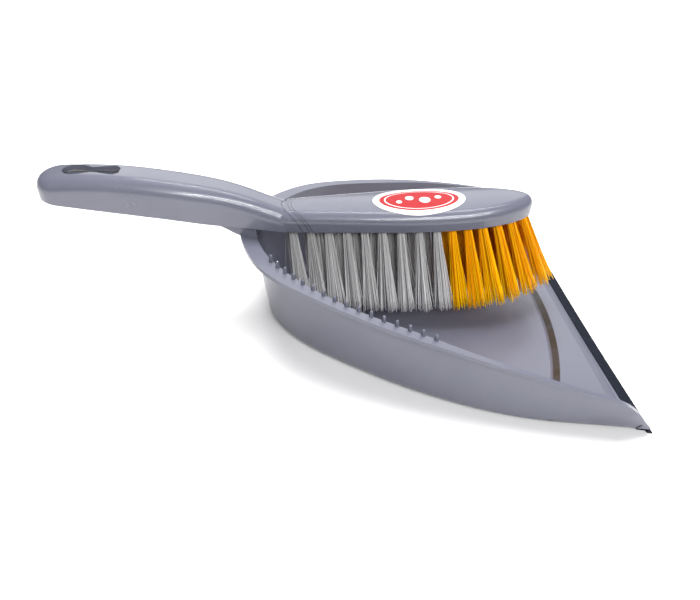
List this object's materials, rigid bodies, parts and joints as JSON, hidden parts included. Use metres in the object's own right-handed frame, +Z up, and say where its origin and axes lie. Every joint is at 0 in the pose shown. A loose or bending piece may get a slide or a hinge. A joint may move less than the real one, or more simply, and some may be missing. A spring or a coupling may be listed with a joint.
{
  "type": "dust pan and brush set",
  "caption": "Hand brush nested in a flared dust pan with a rubber lip and comb pegs; the arched brush handle clips over the pan handle and both share a hanging hole",
  "frame": {"origin": "on the surface it stands on, under the middle of the set's bounding box", "axes": "+X along the set's length, from the handle end to the pan's lip; +Y to the left of that; +Z up, from the surface the pan stands on"},
  "size_m": [0.3194, 0.227, 0.0953],
  "materials": {
    "pan_plastic": "satin moulded, grey-lilac",
    "brush_plastic": "semi-gloss moulded, pearly grey-lilac",
    "lip_rubber": "matt black",
    "label_film": "coated sticker, white edge and red field",
    "grey_bristle": "crimped synthetic filament, pale grey",
    "yellow_bristle": "crimped synthetic filament, golden yellow",
    "anchor_steel": "bright wire, hidden in the head"
  },
  "bodies": {
    "pan": {"pan_body": "pan_plastic", "lip_strip": "lip_rubber"},
    "brush": {"brush_body": "brush_plastic", "label": "label_film", "tuft_anchors": "anchor_steel", "tuft_near_01": "grey_bristle", "tuft_far_01": "grey_bristle", "tuft_near_02": "grey_bristle", "tuft_far_02": "grey_bristle", "tuft_near_03": "grey_bristle", "tuft_far_03": "grey_bristle", "tuft_near_04": "grey_bristle", "tuft_far_04": "grey_bristle", "tuft_near_05": "grey_bristle", "tuft_far_05": "grey_bristle", "tuft_near_06": "grey_bristle", "tuft_far_06": "grey_bristle", "tuft_near_07": "grey_bristle", "tuft_far_07": "grey_bristle", "tuft_near_08": "grey_bristle", "tuft_far_08": "grey_bristle", "tuft_near_09": "grey_bristle", "tuft_far_09": "grey_bristle", "tuft_near_10": "yellow_bristle", "tuft_far_10": "yellow_bristle", "tuft_near_11": "yellow_bristle", "tuft_far_11": "yellow_bristle", "tuft_near_12": "yellow_bristle", "tuft_far_12": "yellow_bristle", "tuft_near_13": "yellow_bristle", "tuft_far_13": "yellow_bristle", "tuft_near_14": "yellow_bristle", "tuft_far_14": "yellow_bristle", "tuft_near_15": "yellow_bristle", "tuft_far_15": "yellow_bristle", "tuft_inner_near_01": "grey_bristle", "tuft_inner_far_01": "grey_bristle", "tuft_inner_near_02": "grey_bristle", "tuft_inner_far_02": "grey_bristle", "tuft_inner_near_03": "grey_bristle", "tuft_inner_far_03": "grey_bristle", "tuft_inner_near_04": "grey_bristle", "tuft_inner_far_04": "grey_bristle", "tuft_inner_near_05": "grey_bristle", "tuft_inner_far_05": "grey_bristle", "tuft_inner_near_06": "grey_bristle", "tuft_inner_far_06": "grey_bristle", "tuft_inner_near_07": "grey_bristle", "tuft_inner_far_07": "grey_bristle", "tuft_inner_near_08": "yellow_bristle", "tuft_inner_far_08": "grey_bristle", "tuft_inner_near_09": "yellow_bristle", "tuft_inner_far_09": "yellow_bristle", "tuft_inner_near_10": "yellow_bristle", "tuft_inner_far_10": "yellow_bristle", "tuft_inner_near_11": "yellow_bristle", "tuft_inner_far_11": "yellow_bristle", "tuft_centre": "yellow_bristle"}
  },
  "joints": [
    {"name": "brush_lift", "type": "slide", "parent": "pan", "child": "brush", "axis": [0, 0, 1], "range_m": [0, 0.12]}
  ]
}
